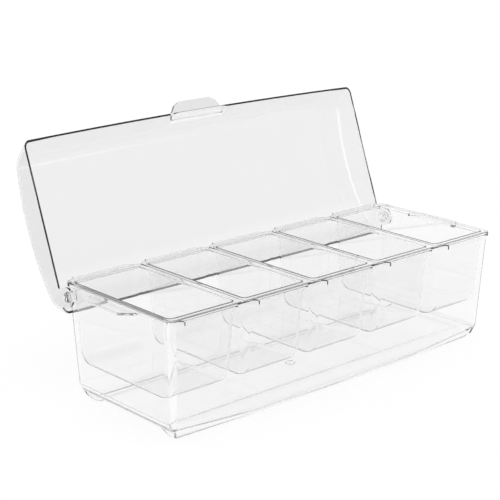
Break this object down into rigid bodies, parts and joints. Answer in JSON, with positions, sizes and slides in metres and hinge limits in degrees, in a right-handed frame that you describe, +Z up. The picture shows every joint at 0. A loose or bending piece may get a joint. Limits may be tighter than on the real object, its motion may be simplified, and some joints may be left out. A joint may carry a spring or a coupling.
{
  "type": "condiment caddy",
  "caption": "Clear tabletop condiment server: an oblong bin on two rails, a row of lift-out inserts hanging on its rim, and one domed lid hinged at the rear.",
  "frame": {"origin": "the middle of the front rail's foot, on the surface that the bin stands on; the bin's own middle lies 46.777 mm behind it", "axes": "+X along the row of inserts to the right as seen from the front, +Y towards the hinge at the rear, +Z up"},
  "size_m": [0.4198, 0.2162, 0.2346],
  "materials": {
    "clear_plastic": "glossy, colourless and clear"
  },
  "bodies": {
    "bin": {"bin": "clear_plastic"},
    "lid": {"lid": "clear_plastic"},
    "insert_1": {"insert_1": "clear_plastic"},
    "insert_2": {"insert_2": "clear_plastic"},
    "insert_3": {"insert_3": "clear_plastic"},
    "insert_4": {"insert_4": "clear_plastic"},
    "insert_5": {"insert_5": "clear_plastic"}
  },
  "joints": [
    {"name": "lid_hinge", "type": "hinge", "parent": "bin", "child": "lid", "pos_m": [0, 0.11278, 0.0971], "axis": [-1, 0, 0], "range_deg": [-108.7, 0]},
    {"name": "insert_1_lift", "type": "slide", "parent": "bin", "child": "insert_1", "axis": [0, 0, 1], "range_m": [0, 0.08]},
    {"name": "insert_2_lift", "type": "slide", "parent": "bin", "child": "insert_2", "axis": [0, 0, 1], "range_m": [0, 0.08]},
    {"name": "insert_3_lift", "type": "slide", "parent": "bin", "child": "insert_3", "axis": [0, 0, 1], "range_m": [0, 0.08]},
    {"name": "insert_4_lift", "type": "slide", "parent": "bin", "child": "insert_4", "axis": [0, 0, 1], "range_m": [0, 0.08]},
    {"name": "insert_5_lift", "type": "slide", "parent": "bin", "child": "insert_5", "axis": [0, 0, 1], "range_m": [0, 0.08]}
  ]
}
